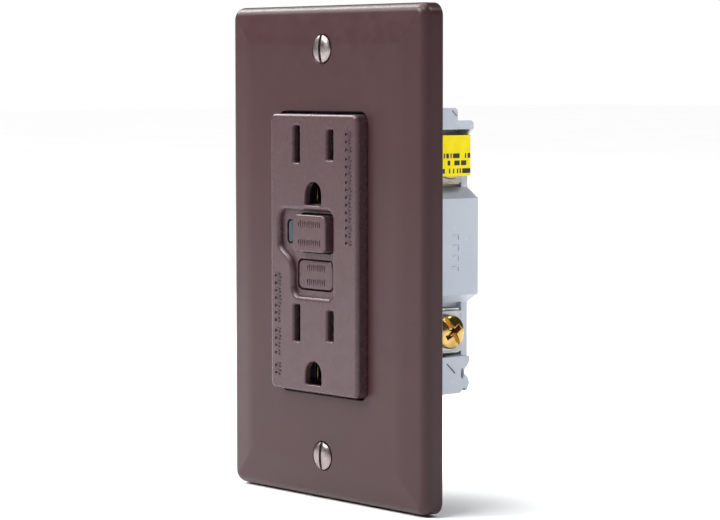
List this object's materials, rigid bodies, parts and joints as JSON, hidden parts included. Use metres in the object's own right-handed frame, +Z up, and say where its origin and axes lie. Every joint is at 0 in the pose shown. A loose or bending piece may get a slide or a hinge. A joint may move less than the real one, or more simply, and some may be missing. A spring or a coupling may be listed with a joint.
{
  "type": "gfci outlet",
  "caption": "Ground-fault duplex outlet with rectangular face, reset and test buttons, wall plate, strap and side-wired rear housing.",
  "frame": {"origin": "middle of the wall plate, on the wall surface that the plate's rim and the strap's ears rest on", "axes": "+X to the right seen from the room, +Y into the wall, +Z up; the outlets face -Y"},
  "size_m": [0.0732, 0.0384, 0.1174],
  "materials": {
    "plate_brown": "satin brown moulding with a faint orange peel",
    "plate_screw": "brown lacquer, rubbed to metal on the edges",
    "face_brown": "satin brown moulding, slightly greyer than the plate",
    "housing_grey": "light blue-grey thermoplastic, finely grained",
    "steel": "bright zinc plate",
    "brass": "bright brass",
    "plated_brass": "nickel plate on brass",
    "copper": "bare or enamelled copper",
    "green_steel": "green dyed zinc plate",
    "core_black": "wound core dipped in black lacquer",
    "board_green": "glass-epoxy board with solder mask",
    "lamp_lens": "pale light pipe",
    "label_yellow": "yellow printed tape",
    "nylon": "natural nylon",
    "blue_coat": "blue epoxy coating",
    "red_epoxy": "red epoxy",
    "black_epoxy": "black moulding compound",
    "fibre": "vulcanised fibre card"
  },
  "bodies": {
    "root": {"wall_plate": "plate_brown", "plate_screw_upper": "plate_screw", "plate_screw_lower": "plate_screw", "face_cover": "face_brown", "lamp_lens": "lamp_lens", "lamp_diode": "red_epoxy", "reset_spring": "steel", "mounting_strap": "steel", "ground_contact_upper": "brass", "ground_contact_lower": "brass", "box_screw_upper": "steel", "box_screw_lower": "steel", "screw_retainer_upper": "fibre", "screw_retainer_lower": "fibre", "hot_face_contacts": "brass", "neutral_face_contacts": "plated_brass", "separator": "housing_grey", "rear_cover": "housing_grey", "assembly_screw_1": "steel", "assembly_screw_2": "steel", "assembly_screw_3": "steel", "assembly_screw_4": "steel", "load_label": "label_yellow", "load_hot_terminal": "brass", "load_hot_clamp": "steel", "load_hot_screw": "brass", "load_neutral_terminal": "plated_brass", "load_neutral_clamp": "steel", "load_neutral_screw": "plated_brass", "line_hot_terminal": "plated_brass", "line_neutral_terminal": "plated_brass", "solenoid_spool": "nylon", "solenoid_coil": "copper", "plunger_spring": "steel", "sense_core": "core_black", "neutral_core": "core_black", "hot_conductor": "copper", "neutral_conductor": "copper", "circuit_board": "board_green", "varistor": "blue_coat", "film_capacitor": "red_epoxy", "storage_capacitor": "black_epoxy", "control_chip": "black_epoxy", "thyristor": "black_epoxy", "test_resistor": "nylon"},
    "reset_button": {"reset_button": "face_brown", "reset_pin": "steel"},
    "test_button": {"test_button": "face_brown"},
    "test_blade": {"test_blade": "brass"},
    "contact_carriage": {"contact_carriage": "nylon"},
    "latch": {"latch": "steel"},
    "hot_contact_arm": {"hot_contact_arm": "copper"},
    "neutral_contact_arm": {"neutral_contact_arm": "copper"},
    "plunger": {"plunger": "steel"},
    "line_hot_clamp": {"line_hot_clamp": "steel"},
    "line_hot_screw": {"line_hot_screw": "brass"},
    "line_neutral_clamp": {"line_neutral_clamp": "steel"},
    "line_neutral_screw": {"line_neutral_screw": "plated_brass"},
    "ground_washer": {"ground_washer": "steel"},
    "ground_screw": {"ground_screw": "green_steel"}
  },
  "joints": [
    {"name": "reset_press", "type": "slide", "parent": "root", "child": "reset_button", "axis": [0, 1, 0], "range_m": [0, 0.003], "stiffness_N_per_m": 900, "springref_m": -0.0015, "deforming": ["reset_spring"]},
    {"name": "test_press", "type": "slide", "parent": "root", "child": "test_button", "axis": [0, 1, 0], "range_m": [0, 0.0012], "stiffness_N_per_m": 800, "springref_m": -0.0008},
    {"name": "test_blade_flex", "type": "hinge", "parent": "root", "child": "test_blade", "pos_m": [-0.0101, 0.00445, -0.0054], "axis": [0, 0, 1], "range_deg": [0, 7.1]},
    {"name": "carriage_slide", "type": "slide", "parent": "root", "child": "contact_carriage", "axis": [0, 1, 0], "range_m": [0, 0.0015]},
    {"name": "hot_arm_flex", "type": "hinge", "parent": "root", "child": "hot_contact_arm", "pos_m": [0.0111, 0.0112, -0.019], "axis": [-1, 0, 0], "range_deg": [0, 3.7]},
    {"name": "neutral_arm_flex", "type": "hinge", "parent": "root", "child": "neutral_contact_arm", "pos_m": [-0.0111, 0.0112, -0.019], "axis": [-1, 0, 0], "range_deg": [0, 3.7]},
    {"name": "plunger_slide", "type": "slide", "parent": "root", "child": "plunger", "axis": [0, 0, -1], "range_m": [0, 0.0015], "stiffness_N_per_m": 120, "springref_m": -0.001, "deforming": ["plunger_spring"]},
    {"name": "latch_slide", "type": "slide", "parent": "contact_carriage", "child": "latch", "axis": [0, 0, -1], "range_m": [0, 0.0015]},
    {"name": "line_hot_clamp_slide", "type": "slide", "parent": "root", "child": "line_hot_clamp", "axis": [1, 0, 0], "range_m": [0, 0.00238]},
    {"name": "line_hot_screw_turn", "type": "hinge", "parent": "line_hot_clamp", "child": "line_hot_screw", "pos_m": [0.0177, 0.0178, -0.0188], "axis": [1, 0, 0], "range_deg": [0, 1080]},
    {"name": "line_neutral_clamp_slide", "type": "slide", "parent": "root", "child": "line_neutral_clamp", "axis": [-1, 0, 0], "range_m": [0, 0.00238]},
    {"name": "line_neutral_screw_turn", "type": "hinge", "parent": "line_neutral_clamp", "child": "line_neutral_screw", "pos_m": [-0.0177, 0.0178, -0.0188], "axis": [-1, 0, 0], "range_deg": [0, 1080]},
    {"name": "ground_washer_slide", "type": "slide", "parent": "root", "child": "ground_washer", "axis": [0, 0, -1], "range_m": [0, 0.00158]},
    {"name": "ground_screw_turn", "type": "hinge", "parent": "ground_washer", "child": "ground_screw", "pos_m": [-0.0085, 0.013, -0.0373], "axis": [0, 0, -1], "range_deg": [0, 720]}
  ],
  "couplings": [
    {"joint": "test_blade_flex", "follows": "test_press", "rad_per_m": 102.04},
    {"joint": "hot_arm_flex", "follows": "carriage_slide", "rad_per_m": 41.93},
    {"joint": "neutral_arm_flex", "follows": "carriage_slide", "rad_per_m": 41.93},
    {"joint": "latch_slide", "follows": "plunger_slide", "ratio": 1},
    {"joint": "line_hot_screw_turn", "follows": "line_hot_clamp_slide", "rad_per_m": 7915.8},
    {"joint": "line_neutral_screw_turn", "follows": "line_neutral_clamp_slide", "rad_per_m": 7915.8},
    {"joint": "ground_screw_turn", "follows": "ground_washer_slide", "rad_per_m": 7915.8}
  ]
}
